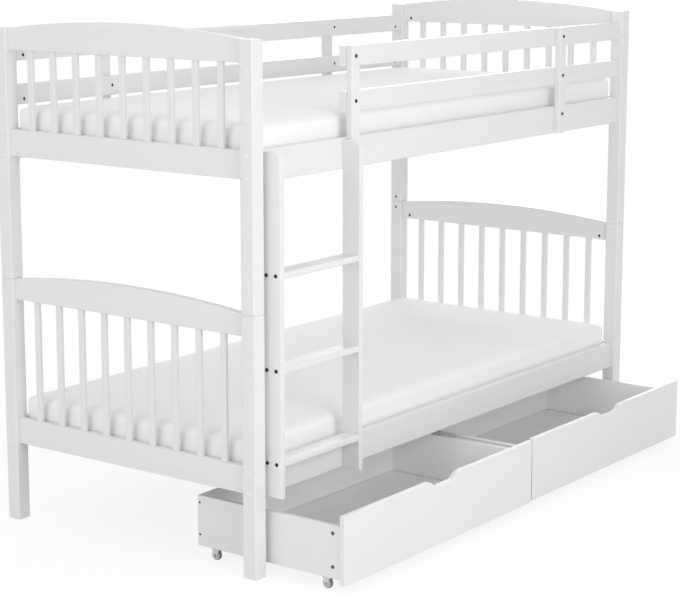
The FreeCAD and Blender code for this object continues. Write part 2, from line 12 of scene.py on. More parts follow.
import bmesh
import bpy
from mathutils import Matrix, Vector


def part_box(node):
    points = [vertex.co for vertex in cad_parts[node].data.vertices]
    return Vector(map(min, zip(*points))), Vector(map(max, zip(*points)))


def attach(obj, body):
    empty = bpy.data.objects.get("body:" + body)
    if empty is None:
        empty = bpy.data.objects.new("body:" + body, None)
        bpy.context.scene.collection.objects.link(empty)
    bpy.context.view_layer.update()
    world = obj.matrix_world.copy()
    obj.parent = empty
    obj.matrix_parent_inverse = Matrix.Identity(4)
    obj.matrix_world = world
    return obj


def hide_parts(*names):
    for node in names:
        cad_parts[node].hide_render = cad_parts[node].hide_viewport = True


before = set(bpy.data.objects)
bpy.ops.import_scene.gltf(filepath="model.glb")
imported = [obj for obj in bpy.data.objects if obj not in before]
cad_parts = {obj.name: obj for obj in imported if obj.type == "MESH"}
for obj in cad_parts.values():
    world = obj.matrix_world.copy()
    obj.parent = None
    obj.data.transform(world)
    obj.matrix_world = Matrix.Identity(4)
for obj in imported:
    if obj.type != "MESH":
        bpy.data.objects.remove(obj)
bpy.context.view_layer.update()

# %% [markdown]
# ## Camera
# The bed is seen from its front left corner, from a little above the upper mattress and through a
# long lens, so that upright posts stay almost parallel. The place, heading and tilt were worked out
# from the corners of the posts. A small shift does a part of what tilting the camera would do, and
# keeps the posts more upright than tilting alone.

# %% Camera
IMAGE_WIDTH = 680
FOCAL_LENGTH_IN_PIXELS = 1938.2
SENSOR_WIDTH = 36
CAMERA_PLACE = (-5.0709, -3.6593, 1.8261)
CAMERA_HEADING = math.radians(36.85)
CAMERA_TILT = math.radians(10.48)
CAMERA_SHIFT = (0.0062, -0.03)

bpy.ops.object.camera_add(
    location=CAMERA_PLACE,
    rotation=(math.pi / 2 - CAMERA_TILT, 0, CAMERA_HEADING - math.pi / 2))
camera = bpy.context.object
camera.name = "viewpoint"
camera.data.sensor_width = SENSOR_WIDTH
camera.data.lens = FOCAL_LENGTH_IN_PIXELS / IMAGE_WIDTH * SENSOR_WIDTH
camera.data.shift_x, camera.data.shift_y = CAMERA_SHIFT
bpy.context.scene.camera = camera
bpy.context.scene.view_settings.view_transform = "Standard"
print("camera lens", round(camera.data.lens, 1), "mm")

# %% [markdown]
# ## Node helper
# Every finish below is a handful of shader nodes. One small function adds a node, sets its options
# and fills its inputs with values or with links, so that each finish reads as a short recipe.

# %% Node helper
WHITE = (1, 1, 1, 1)


def grey(level):
    """A neutral colour."""
    return (level, level, level)


def add_node(tree, kind, options, inputs):
    """Add a shader node. An input that is another node's output is linked."""
    node = tree.nodes.new("ShaderNode" + kind)
    for option, value in options.items():
        setattr(node, option, value)
    for socket, value in inputs.items():
        if isinstance(value, bpy.types.NodeSocket):
            tree.links.new(value, node.inputs[socket])
        else:
            node.inputs[socket].default_value = value
    return node


def seen_directly(tree):
    """1 for rays that show the background itself: from the camera, a gloss or through glass."""
    rays = add_node(tree, "LightPath", {}, {})
    seen = rays.outputs["Is Camera Ray"]
    for ray in ("Is Glossy Ray", "Is Transmission Ray"):
        both = add_node(tree, "Math", {"operation": "MAXIMUM"}, {0: seen, 1: rays.outputs[ray]})
        seen = both.outputs[0]
    return seen


print("node helper ready")

# %% [markdown]
# ## Studio
# A product shot of white furniture is lit by large soft boxes in a white room. The world gives the
# even light of the room. The floor is a pale sheet: it bounces light up under the bed as paper
# would, and where it is seen directly it is lifted to white and still takes the bed's soft shadow.
# Farther off it fades to plain white, so that no edge of the floor shows.

# %% White room
ROOM_LIGHT = 0.62

world = bpy.data.worlds.new("white_room")
world.use_nodes = True
bpy.context.scene.world = world
tree = world.node_tree
tree.nodes.clear()
room = add_node(tree, "Background", {}, {"Color": WHITE, "Strength": ROOM_LIGHT})
backdrop = add_node(tree, "Background", {}, {"Color": WHITE, "Strength": 1})
sky = add_node(tree, "MixShader", {}, {
    0: seen_directly(tree), 1: room.outputs[0], 2: backdrop.outputs[0]})
add_node(tree, "OutputWorld", {}, {"Surface": sky.outputs[0]})
print("room light", ROOM_LIGHT)

# %% Floor
FLOOR_SIZE = 60
FLOOR_DROP = 0.0005
FLOOR_PALE = (*grey(0.80), 1)
FLOOR_SEEN = (*grey(0.14), 1)
FLOOR_LIFT = 0.86
FLOOR_FADE = (1.8, 4.5)

bpy.ops.object.select_all(action="DESELECT")
bpy.ops.mesh.primitive_plane_add(size=FLOOR_SIZE, location=(0, 0, -FLOOR_DROP))
floor = bpy.context.object
floor.name = "floor"
paper = bpy.data.materials.new("floor_paper")
paper.use_nodes = True
tree = paper.node_tree
tree.nodes.clear()
pale = add_node(tree, "BsdfDiffuse", {}, {"Color": FLOOR_PALE})
shaded = add_node(tree, "BsdfDiffuse", {}, {"Color": FLOOR_SEEN})
lift = add_node(tree, "Emission", {}, {"Color": WHITE, "Strength": FLOOR_LIFT})
lifted = add_node(tree, "AddShader", {}, {0: shaded.outputs[0], 1: lift.outputs[0]})
spot = add_node(tree, "TexCoord", {}, {}).outputs["Object"]
away = add_node(tree, "VectorMath", {"operation": "LENGTH"}, {0: spot}).outputs["Value"]
fade = add_node(tree, "MapRange", {"interpolation_type": "SMOOTHSTEP"}, {
    "Value": away, "From Min": FLOOR_FADE[0], "From Max": FLOOR_FADE[1]})
plain = add_node(tree, "Emission", {}, {"Color": WHITE, "Strength": 1})
seen = add_node(tree, "MixShader", {}, {
    0: fade.outputs[0], 1: lifted.outputs[0], 2: plain.outputs[0]})
sheet = add_node(tree, "MixShader", {}, {
    0: seen_directly(tree), 1: pale.outputs[0], 2: seen.outputs[0]})
add_node(tree, "OutputMaterial", {}, {"Surface": sheet.outputs[0]})
floor.data.materials.append(paper)
print("floor", FLOOR_SIZE, "m wide")

# %% [markdown]
# ### Soft boxes
# Bare lamps would draw hard spindle shadows over the mattresses, so every lamp is a wide area light.
# The front and drawer boxes stand high enough to shine into the open drawers, the left box lights
# the end panels, the ceiling box the upper mattress, and the far box the faces that look away.

# %% Soft boxes
SOFT_BOXES = {
    "front_box": {"place": (-1.5, -2.9, 1.5), "aim": (0.0, 0.0, 0.5), "size": 1.6, "power": 23},
    "drawer_box": {"place": (-1.6, -4.9, 2.5), "aim": (0.0, 0.0, 0.4), "size": 2.4, "power": 30},
    "left_box": {"place": (-5.0, 0.6, 2.2), "aim": (0.0, 0.2, 0.7), "size": 3.8, "power": 47},
    "ceiling_box": {"place": (-0.4, -0.4, 4.6), "aim": (0.0, 0.0, 0.6), "size": 3.4, "power": 12},
    "far_box": {"place": (4.2, 2.4, 2.4), "aim": (0.0, 0.0, 0.5), "size": 2.4, "power": 90},
}

for name, box in SOFT_BOXES.items():
    bpy.ops.object.light_add(type="AREA", location=box["place"])
    lamp = bpy.context.object
    lamp.name = name
    lamp.data.size = box["size"]
    lamp.data.energy = box["power"]
    facing = Vector(box["aim"]) - Vector(box["place"])
    lamp.rotation_euler = facing.to_track_quat("-Z", "Y").to_euler()
    lamp.visible_camera = False
print("soft boxes:", ", ".join(SOFT_BOXES))

# %% [markdown]
# ## Finishes
# A shared effect is a node group: built once, then placed in each finish with values of its own.
# A group gives only masks and heights. The shader itself stays in the material. All patterns read
# Object coordinates, which here are metres in the bed's own frame, so sizes below are real sizes.

# %% Group and finish helpers
def new_group(name, inputs, outputs):
    """An empty node group with named sockets, and its two end nodes."""
    group = bpy.data.node_groups.new(name, "ShaderNodeTree")
    for label, kind, value in inputs:
        socket = group.interface.new_socket(label, in_out="INPUT", socket_type=kind)
        socket.default_value = value
    for label in outputs:
        group.interface.new_socket(label, in_out="OUTPUT", socket_type="NodeSocketFloat")
    return group, group.nodes.new("NodeGroupInput"), group.nodes.new("NodeGroupOutput")


def new_finish(name):
    """A material with its shader, and the Object coordinates that its patterns read."""
    material = bpy.data.materials.new(name)
    material.use_nodes = True
    tree = material.node_tree
    shader = tree.nodes["Principled BSDF"]
    coordinates = add_node(tree, "TexCoord", {}, {}).outputs["Object"]
    return material, tree, shader, coordinates


def place_group(tree, group, inputs):
    return add_node(tree, "Group", {"node_tree": group}, inputs)


def blend(tree, first, second, share):
    """A value between two others. A share of 0 is all the first, 1 is all the second."""
    return add_node(tree, "Mix", {"data_type": "FLOAT"}, {0: share, 2: first, 3: second}).outputs[0]


def colour_by(tree, shader, mask, first, second):
    """Base colour that runs from one colour to another with a mask."""
    mix = add_node(tree, "Mix", {"data_type": "RGBA"}, {0: mask, 6: (*first, 1), 7: (*second, 1)})
    tree.links.new(mix.outputs[2], shader.inputs["Base Color"])


def value_by(tree, shader, socket, mask, first, second):
    """A shader value that runs from one number to another with a mask."""
    span = add_node(tree, "MapRange", {}, {"Value": mask, "To Min": first, "To Max": second})
    tree.links.new(span.outputs[0], shader.inputs[socket])


def emboss(tree, shader, height, strength, depth):
    """Fine relief that only tilts the light, for grain and weave."""
    bump = add_node(tree, "Bump", {}, {"Strength": strength, "Distance": depth, "Height": height})
    tree.links.new(bump.outputs[0], shader.inputs["Normal"])


print("finish helpers ready")

# %% [markdown]
# ### White satin lacquer
# Lacquer fills the wood but not quite: the grain still shows as long faint ripples, and the spray
# leaves a very fine orange peel. A scanned picture of wood would need every board unwrapped, so the
# group stretches a noise along the grain instead. Each direction of grain (along the bed, across it,
# upright) gets its own material from the same recipe. Drawer insides get a whiter copy of the
# lacquer, which is painted light: it stands in for the light that falls into the open drawers.

# %% Grain under the lacquer
NOISE_SPAN = {"From Min": 0.3, "From Max": 0.7}

grain, start, end = new_group(
    "grain_under_lacquer",
    [("Vector", "NodeSocketVector", (0, 0, 0)), ("Along", "NodeSocketVector", (1, 1, 1))],
    ["Tone", "Height"])
drawn = add_node(grain, "VectorMath", {"operation": "MULTIPLY"},
                 {0: start.outputs["Vector"], 1: start.outputs["Along"]})
pores = add_node(grain, "TexNoise", {}, {
    "Vector": drawn.outputs[0], "Scale": 520, "Detail": 3, "Roughness": 0.6})
figure = add_node(grain, "TexNoise", {}, {
    "Vector": drawn.outputs[0], "Scale": 70, "Detail": 3, "Distortion": 0.6})
peel = add_node(grain, "TexNoise", {}, {
    "Vector": start.outputs["Vector"], "Scale": 900, "Detail": 1})
tone = blend(grain, figure.outputs[0], pores.outputs[0], share=0.4)
spread = add_node(grain, "MapRange", {}, {"Value": tone, **NOISE_SPAN})
relief = blend(grain, tone, peel.outputs[0], share=0.35)
grain.links.new(spread.outputs[0], end.inputs["Tone"])
grain.links.new(relief, end.inputs["Height"])
print("made group", grain.name)

# %% White satin lacquer
ALONG, ACROSS, UPRIGHT = 0, 1, 2
GRAIN_STRETCH = 0.03
LACQUER_LIGHT = grey(0.832)
LACQUER_SHADE = grey(0.800)
# Painted light: the drawer insides are whiter than the lacquer, to stand in for light falling into
# them.
INSIDE_PAINTED_LIGHT_PALE = grey(0.930)
INSIDE_PAINTED_LIGHT_DARKER = grey(0.905)


def lacquer(name, along, light=LACQUER_LIGHT, shade=LACQUER_SHADE):
    material, tree, shader, coordinates = new_finish(name)
    ripple = place_group(tree, grain, {"Vector": coordinates, "Along": along})
    colour_by(tree, shader, ripple.outputs["Tone"], light, shade)
    value_by(tree, shader, "Roughness", ripple.outputs["Tone"], first=0.38, second=0.46)
    emboss(tree, shader, ripple.outputs["Height"], strength=0.2, depth=0.0006)
    return material


LACQUER = {
    ALONG: lacquer("white_lacquer_along_the_bed", (GRAIN_STRETCH, 1, 1)),
    ACROSS: lacquer("white_lacquer_across_the_bed", (1, GRAIN_STRETCH, 1)),
    UPRIGHT: lacquer("white_lacquer_upright", (1, 1, GRAIN_STRETCH)),
}
drawer_panel = lacquer("white_panel_film", (1, 1, 1))
drawer_inside_painted_light = lacquer("white_inside_painted_light", (1, 1, 1), INSIDE_PAINTED_LIGHT_PALE, INSIDE_PAINTED_LIGHT_DARKER)
print("lacquers:", [material.name for material in LACQUER.values()], drawer_panel.name,
      drawer_inside_painted_light.name)

# %% [markdown]
# ### Bare pine
# The slats under a mattress are planed and left bare. Pale sapwood shows growth rings as bands
# that wander along the board, with finer streaks between them. Bent wave bands give the rings, and
# the lacquer's own grain group gives the streaks.

# %% Bare pine
PINE_PALE = (0.80, 0.75, 0.67)
PINE_RING = (0.71, 0.64, 0.54)

pine, tree, shader, coordinates = new_finish("planed_bare_pine")
drawn = add_node(tree, "Mapping", {}, {"Vector": coordinates, "Scale": (1, 0.06, 1)})
rings = add_node(tree, "TexWave", {"bands_direction": "X"}, {
    "Vector": drawn.outputs[0], "Scale": 26, "Distortion": 7, "Detail": 3, "Detail Scale": 1.5})
ripple = place_group(tree, grain, {"Vector": coordinates, "Along": (1, GRAIN_STRETCH, 1)})
bands = add_node(tree, "Math", {"operation": "POWER"}, {0: rings.outputs[1], 1: 2.2})
mask = blend(tree, bands.outputs[0], ripple.outputs["Tone"], share=0.35)
colour_by(tree, shader, mask, PINE_PALE, PINE_RING)
value_by(tree, shader, "Roughness", ripple.outputs["Tone"], first=0.55, second=0.72)
emboss(tree, shader, ripple.outputs["Height"], strength=0.35, depth=0.0008)
print("made", pine.name)

# %% [markdown]
# ### Mattress cover
# The cover is a plain white cotton weave. Three crossed waves give a thread grid on every face of
# the mattress without an unwrap: on each face one of the three stands still. A slow noise keeps the
# cover from looking like one flat sheet of paper.

# %% Mattress cover
THREADS_PER_METRE = 620
COVER_LIGHT = grey(0.955)
COVER_SHADE = grey(0.925)

weave, start, end = new_group(
    "plain_weave", [("Vector", "NodeSocketVector", (0, 0, 0))], ["Thread", "Drift"])
height = 0
for direction in ("X", "Y", "Z"):
    wave = add_node(weave, "TexWave", {"bands_direction": direction}, {
        "Vector": start.outputs["Vector"], "Scale": THREADS_PER_METRE / (2 * math.pi),
        "Distortion": 0.8, "Detail": 1})
    total = add_node(weave, "Math", {"operation": "ADD"}, {0: height, 1: wave.outputs[1]})
    height = total.outputs[0]
third = add_node(weave, "Math", {"operation": "DIVIDE"}, {0: height, 1: 3})
drift = add_node(weave, "TexNoise", {}, {"Vector": start.outputs["Vector"], "Scale": 9, "Detail": 4})
weave.links.new(third.outputs[0], end.inputs["Thread"])
weave.links.new(drift.outputs[0], end.inputs["Drift"])

cover, tree, shader, coordinates = new_finish("mattress_cover")
cloth = place_group(tree, weave, {"Vector": coordinates})
mask = blend(tree, cloth.outputs["Thread"], cloth.outputs["Drift"], share=0.5)
colour_by(tree, shader, mask, COVER_SHADE, COVER_LIGHT)
emboss(tree, shader, cloth.outputs["Thread"], strength=0.35, depth=0.0004)
shader.inputs["Roughness"].default_value = 0.9
shader.inputs["Specular IOR Level"].default_value = 0.2
shader.inputs["Sheen Weight"].default_value = 0.15
print("made", cover.name)

# %% [markdown]
# ### Metal and plastic
# The bolt heads in the posts are coated white, the connectors that hold boards and rungs are dark
# oxide steel, those of the drawers, the axles and the rear pins are grey steel, dowels are zinc, and
# casters are grey plastic with a darker tread. Handling leaves each a little uneven. One group of
# fine speckle moves both the colour and the gloss, which is enough for pieces this small.

# %% Metal and plastic
SPECKS_PER_METRE = 900

speckle, start, end = new_group(
    "fine_speckle",
    [("Vector", "NodeSocketVector", (0, 0, 0)), ("Grain", "NodeSocketFloat", 0)], ["Speck"])
dots = add_node(speckle, "TexNoise", {}, {
    "Vector": start.outputs["Vector"], "Scale": start.outputs["Grain"], "Detail": 3})
clear = add_node(speckle, "MapRange", {}, {"Value": dots.outputs[0], **NOISE_SPAN})
speckle.links.new(clear.outputs[0], end.inputs["Speck"])


def speckled(name, first, second, rough, metal):
    material, tree, shader, coordinates = new_finish(name)
    specks = place_group(tree, speckle, {"Vector": coordinates, "Grain": SPECKS_PER_METRE})
    colour_by(tree, shader, specks.outputs["Speck"], first, second)
    value_by(tree, shader, "Roughness", specks.outputs["Speck"], *rough)
    emboss(tree, shader, specks.outputs["Speck"], strength=0.15, depth=0.0002)
    shader.inputs["Metallic"].default_value = metal
    return material


white_coat = speckled("white_coated_bolt", grey(0.86), grey(0.81), (0.26, 0.38), 0)
dark_oxide = speckled("dark_oxide_steel", (0.045, 0.043, 0.041), grey(0.02), (0.32, 0.5), 0.6)
grey_steel = speckled("grey_steel", grey(0.20), grey(0.13), (0.3, 0.48), 0.5)
zinc = speckled("zinc_plate", (0.62, 0.62, 0.63), (0.50, 0.50, 0.51), (0.25, 0.45), 1)
grey_plastic = speckled("grey_caster_plastic", grey(0.70), grey(0.64), (0.3, 0.45), 0)
tread_rubber = speckled("caster_tread_rubber", grey(0.30), grey(0.24), (0.55, 0.75), 0)
print("made", white_coat.name, dark_oxide.name, grey_steel.name, zinc.name, grey_plastic.name,
      tread_rubber.name)

# %% [markdown]
# ## Ways of making a piece
# A joiner starts from a sawn blank and eases its edges. So does this file: a block is added at its
# size and place, edges are picked by where they run, and a bevel rounds them. A bevel modifier would
# be shorter, but it rounds every edge alike, and here long edges are rounder than sawn ends. Copies,
# holes and the last smoothing each have a short helper too.

# %% Blanks
def pick(*pieces):
    """Select these pieces alone. The last is active."""
    bpy.ops.object.select_all(action="DESELECT")
    for piece in pieces:
        piece.select_set(True)
    bpy.context.view_layer.objects.active = pieces[-1]


def blank(name, low, high):
    """A sawn block that fills a box."""
    low, high = Vector(low), Vector(high)
    bpy.ops.object.select_all(action="DESELECT")
    bpy.ops.mesh.primitive_cube_add(size=1, location=(low + high) / 2, scale=high - low)
    piece = bpy.context.object
    piece.name = piece.data.name = name
    bpy.ops.object.transform_apply(location=True, rotation=True, scale=True)
    return piece


def size_of(piece):
    """A piece's length, width and height in metres, to print."""
    return [round(side, 3) for side in piece.dimensions]


print("blanks ready")

# %% Choosing and rounding edges
TINY = 1e-5
STRAIGHT = 0.999


def choose(piece, mode, wanted):
    """In edit mode, select the points, edges or faces that pass a test."""
    bpy.ops.mesh.select_mode(type=mode)
    bpy.ops.mesh.select_all(action="DESELECT")
    shape = bmesh.from_edit_mesh(piece.data)
    for part in {"VERT": shape.verts, "EDGE": shape.edges, "FACE": shape.faces}[mode]:
        if wanted(part):
            part.select_set(True)
    if mode == "VERT":
        shape.select_flush(True)
    bmesh.update_edit_mesh(piece.data)


def choose_edges(piece, wanted):
    """Select the edges whose two ends pass a test."""
    choose(piece, "EDGE", lambda edge: wanted(edge.verts[0].co, edge.verts[1].co))


def choose_points(piece, wanted):
    """Select the points whose place passes a test."""
    choose(piece, "VERT", lambda point: wanted(point.co))


def round_edges(piece, wanted, radius, steps):
    choose_edges(piece, wanted)
    bpy.ops.mesh.bevel(offset=radius, segments=steps, affect="EDGES")


def runs(axis):
    """A test for edges that run along an axis."""
    return lambda first, second: abs((first - second).normalized()[axis]) > STRAIGHT


def lies_at(axis, *levels):
    """A test for edges that lie in one of some planes across an axis."""
    def test(first, second):
        return any(abs(first[axis] - level) < TINY and abs(second[axis] - level) < TINY
                   for level in levels)
    return test


print("edges ready")

# %% Boards and copies
LONG_EDGE_ROUND = 0.003
END_EDGE_ROUND = 0.0008


def board(name, low, high, grain_axis, long_round=LONG_EDGE_ROUND, end_round=END_EDGE_ROUND):
    """A board with rounded long edges and lightly sanded ends."""
    piece = blank(name, low, high)
    bpy.ops.object.mode_set(mode="EDIT")
    round_edges(piece, runs(grain_axis), long_round, steps=4)
    round_edges(piece, lies_at(grain_axis, low[grain_axis], high[grain_axis]), end_round, steps=2)
    bpy.ops.object.mode_set(mode="OBJECT")
    return piece


def copy_to(piece, shift, turn=(0, 0, 0)):
    """A copy with its own mesh, turned and moved."""
    pick(piece)
    bpy.ops.object.duplicate()
    twin = bpy.context.object
    twin.rotation_euler = turn
    twin.location = shift
    bpy.ops.object.transform_apply(location=True, rotation=True, scale=True)
    return twin


def joined(name, pieces):
    pick(*pieces)
    if len(pieces) > 1:
        bpy.ops.object.join()
    whole = bpy.context.object
    whole.name = whole.data.name = name
    return whole


def row(name, first, count, axis, reach):
    """Copies of a piece in even steps along an axis, the last a reach away, joined as one."""
    pieces = [first]
    for number in range(1, count):
        shift = Vector()
        shift[axis] = number * reach / (count - 1)
        pieces.append(copy_to(first, shift))
    return joined(name, pieces)


print("boards and copies ready")

# %% Modifiers, finishes and handing over
SMOOTH_ANGLE = math.radians(40)


def apply_modifier(piece, kind, **options):
    """Add a modifier, set it and apply it."""
    pick(piece)
    bpy.ops.object.modifier_add(type=kind)
    added = piece.modifiers[-1]
    for option, value in options.items():
        setattr(added, option, value)
    bpy.ops.object.modifier_apply(modifier=added.name)


def carve(piece, cutter):
    """Take the cutter's shape out of a piece, and throw the cutter away."""
    apply_modifier(piece, "BOOLEAN", operation="DIFFERENCE", solver="EXACT", object=cutter)
    bpy.data.objects.remove(cutter)


def smooth(piece):
    """Smooth shading, with flat faces kept flat."""
    pick(piece)
    bpy.ops.object.shade_smooth_by_angle(angle=SMOOTH_ANGLE)
    apply_modifier(piece, "WEIGHTED_NORMAL", keep_sharp=True)


def two_tone(piece, main, other, wanted):
    """Give a piece two finishes. The second is for the faces that pass a test."""
    piece.data.materials.append(main)
    piece.data.materials.append(other)
    for face in piece.data.polygons:
        face.material_index = int(wanted(face))


def hand_over(piece, body, slot, finish, *nodes):
    """Finish a piece: shading, material, the body it rides on, and the nodes it stands for."""
    smooth(piece)
    if finish is not None:
        piece.data.materials.clear()
        piece.data.materials.append(finish)
    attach(piece, body)
    if nodes:
        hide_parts(*nodes)


print("modifiers and handing over ready")

# %% [markdown]
# ## Barrel nuts and connectors
# Knock-down furniture is held by bolts that run into barrel nuts: short steel cylinders that lie in
# a cross hole, with a slot to turn them by. They show as dark dots on the inner faces. Connector
# bolts have a wide flat head with a hex socket. Painted dots would do from afar, but a real hole
# holds its own shadow. Each fastener is modelled once, pointing up, and copied.

# %% Barrel nut
NUT_RADIUS = 0.005
NUT_LENGTH = 0.0095
NUT_SINK = 0.0006
NUT_ROUND = 0.0006
SLOT_WIDTH = 0.0013
SLOT_DEPTH = 0.0012


def rod(name, radius, low, high, sides):
    """A round bar that stands on the origin's axis."""
    bpy.ops.object.select_all(action="DESELECT")
    bpy.ops.mesh.primitive_cylinder_add(
        vertices=sides, radius=radius, depth=high - low, location=(0, 0, (low + high) / 2))
    piece = bpy.context.object
    piece.name = piece.data.name = name
    bpy.ops.object.transform_apply(location=True, rotation=True, scale=True)
    return piece


def round_rim(piece, level, radius, steps):
    """Round the rim of a standing bar at one height."""
    bpy.ops.object.mode_set(mode="EDIT")
    round_edges(piece, lies_at(UPRIGHT, level), radius, steps)
    bpy.ops.object.mode_set(mode="OBJECT")


nut = rod("barrel_nut", NUT_RADIUS, -NUT_SINK - NUT_LENGTH, -NUT_SINK, sides=24)
round_rim(nut, -NUT_SINK, NUT_ROUND, steps=2)
carve(nut, blank("nut_slot", (-NUT_RADIUS, -SLOT_WIDTH / 2, -NUT_SINK - SLOT_DEPTH),
                 (NUT_RADIUS, SLOT_WIDTH / 2, NUT_SINK)))
print("barrel nut:", len(nut.data.polygons), "faces")

# %% Connector bolt
HEAD_RADIUS = 0.0056
HEAD_HEIGHT = 0.0016
HEAD_ROUND = 0.0008
SOCKET_RADIUS = 0.0031
SOCKET_FLOOR = 0.0004


def from_axis(face):
    """How far a face lies from the axis of a standing bar."""
    return math.hypot(face.center.x, face.center.y)


connector = rod("connector_head", HEAD_RADIUS, 0, HEAD_HEIGHT, sides=28)
round_rim(connector, HEAD_HEIGHT, HEAD_ROUND, steps=3)
carve(connector, rod("hex_socket", SOCKET_RADIUS, SOCKET_FLOOR, 2 * HEAD_HEIGHT, sides=6))
# The socket's walls and floor take the dark oxide finish: painted shade in the recess.
two_tone(connector, grey_steel, dark_oxide, lambda face: from_axis(face) < SOCKET_RADIUS
         and 0 < face.center.z < HEAD_HEIGHT - TINY)
print("connector head:", len(connector.data.polygons), "faces")

# %% Holes, and copies of small pieces
HOLE_RADIUS = 0.0052
HOLE_DEPTH = 0.011
TURN_TO = {
    "left": (0, -math.pi / 2, 0),
    "right": (0, math.pi / 2, 0),
    "front": (math.pi / 2, 0, 0),
    "rear": (-math.pi / 2, 0, 0),
}


def fit(model, spots):
    """Copies of a small piece at some spots. Each spot is a point and the way it faces."""
    return [copy_to(model, point, TURN_TO[facing]) for point, facing in spots]


def drill(piece, spots, kept):
    """Holes for barrel nuts. Their spots are kept, so that all nuts are fitted together."""
    carve(piece, joined("drills", fit(hole, spots)))
    kept.extend(spots)


hole = rod("nut_hole", HOLE_RADIUS, -HOLE_DEPTH, HOLE_DEPTH / 4, sides=24)
print("drill ready for holes of", HOLE_RADIUS, "m radius")

# %% [markdown]
# ## Posts
# Each corner post comes in two lengths, one standing on the other with a dowel between them. The
# upright edges have a generous round, and the ends a small one, which is what draws the fine dark
# line where the lengths meet. A line painted round one tall board would be quicker, but two boards
# with soft ends draw it by themselves, from any side. Above and below it a small pin locks the
# dowel, on the face that looks along the bed: plain steel at the rear, painted over at the front.

# %% Posts
WOOD = "white_lacquered_wood"
BED = "bed_frame"
LEVELS = ("lower", "upper")
FACES = ("front", "rear")
SIDES = ("left", "right")
POST_ROUND = 0.004
POST_END_ROUND = 0.0018
PIN_ABOVE_SEAM = 0.018
PIN_BELOW_SEAM = 0.022
INWARD = {"left": "right", "right": "left"}

pin_spots = {face: [] for face in FACES}
for level in LEVELS:
    for face in FACES:
        for side in SIDES:
            node = f"{level}_{face}_{side}_post"
            low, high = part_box(node)
            post = board(node + "_dressed", low, high, UPRIGHT, POST_ROUND, POST_END_ROUND)
            pin_height = high.z - PIN_BELOW_SEAM if level == "lower" else low.z + PIN_ABOVE_SEAM
            inner = high.x if side == "left" else low.x
            pin = Vector((inner, (low.y + high.y) / 2, pin_height))
            drill(post, [(pin, INWARD[side])], pin_spots[face])
            hand_over(post, BED, WOOD, LACQUER[UPRIGHT], node)
print("posts: 8, the last measures", size_of(post))

# %% [markdown]
# ## Side rails, ledgers and slats
# The side rails carry the mattress: a ledger strip is glued along the inside of each, and the slats
# lie across the two ledgers. Rails are white, slats are bare. An array modifier could repeat the
# slats. Copies at a worked out pitch do the same, and end in one plain mesh.

# %% Side rails
RAIL_ROUND = 0.004

for level in LEVELS:
    for face in FACES:
        node = f"{level}_{face}_side_rail"
        rail = board(node + "_dressed", *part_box(node), ALONG, RAIL_ROUND)
        hand_over(rail, BED, WOOD, LACQUER[ALONG], node)
print("side rails: 4, the last measures", size_of(rail))

# %% Ledgers and slats
LEDGER_WIDTH = 0.020
LEDGER_HEIGHT = 0.025
SLAT_COUNT = 13
SLAT_WIDTH = 0.070
SLAT_ROUND = 0.002

ledger_low, ledger_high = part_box("slat_ledgers")
strip = board("ledger", ledger_low,
              (ledger_high.x, ledger_low.y + LEDGER_WIDTH, ledger_low.z + LEDGER_HEIGHT),
              ALONG, SLAT_ROUND)
far = ledger_high.y - LEDGER_WIDTH - ledger_low.y
rise = ledger_high.z - LEDGER_HEIGHT - ledger_low.z
strips = [copy_to(strip, (0, across, up)) for across in (0, far) for up in (0, rise)]
bpy.data.objects.remove(strip)
ledgers = joined("slat_ledgers_dressed", strips)
hand_over(ledgers, BED, WOOD, LACQUER[ALONG], "slat_ledgers")

for level in LEVELS:
    low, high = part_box(f"{level}_slats")
    slat = board("slat", low, (low.x + SLAT_WIDTH, high.y, high.z), ACROSS, SLAT_ROUND)
    slats = row(f"{level}_slats_dressed", slat, SLAT_COUNT, ALONG, high.x - low.x - SLAT_WIDTH)
    hand_over(slats, BED, "bare_pine", pine, f"{level}_slats")
print("ledgers: 4, slats:", SLAT_COUNT, "in each bunk")

# %% [markdown]
# ## End panels
# Each end has a straight bottom rail, nine flat spindles and a top rail with a gentle arch. The arch
# is one wide arc, so the blank's long edges are divided and each step of the top is lifted by what
# a circle through both ends and the crest asks for. It is modelled once and copied to four places.

# %% Arch
ARCH_STEPS = 32

low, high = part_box("lower_left_top_rail")
ends_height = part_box("lower_front_left_post")[1].z
crest = high.z - ends_height
half = (high.y - low.y) / 2
middle = (high.y + low.y) / 2
radius = (half * half + crest * crest) / (2 * crest)

arch = blank("arch", low, (high.x, high.y, ends_height))
bpy.ops.object.mode_set(mode="EDIT")
choose_edges(arch, runs(ACROSS))
bpy.ops.mesh.subdivide(number_cuts=ARCH_STEPS - 1)
for step in range(1, ARCH_STEPS):
    across = low.y + (high.y - low.y) * step / ARCH_STEPS
    lift_here = math.sqrt(radius ** 2 - (across - middle) ** 2) - (radius - crest)
    choose_points(arch, lambda point: abs(point.y - across) < TINY
                  and abs(point.z - ends_height) < TINY)
    bpy.ops.transform.translate(value=(0, 0, lift_here))
corner_line = lies_at(ALONG, low.x, high.x)
round_edges(arch, lambda first, second: corner_line(first, second)
            and abs(first.y - second.y) > abs(first.z - second.z), LONG_EDGE_ROUND, steps=4)
round_edges(arch, lies_at(ACROSS, low.y, high.y), END_EDGE_ROUND, steps=2)
bpy.ops.object.mode_set(mode="OBJECT")
print("arch of radius", round(radius, 3), "m, crest", round(crest, 3), "m")

# %% Arched top rails
NUT_FROM_POST = 0.033
NUT_UP = 0.013

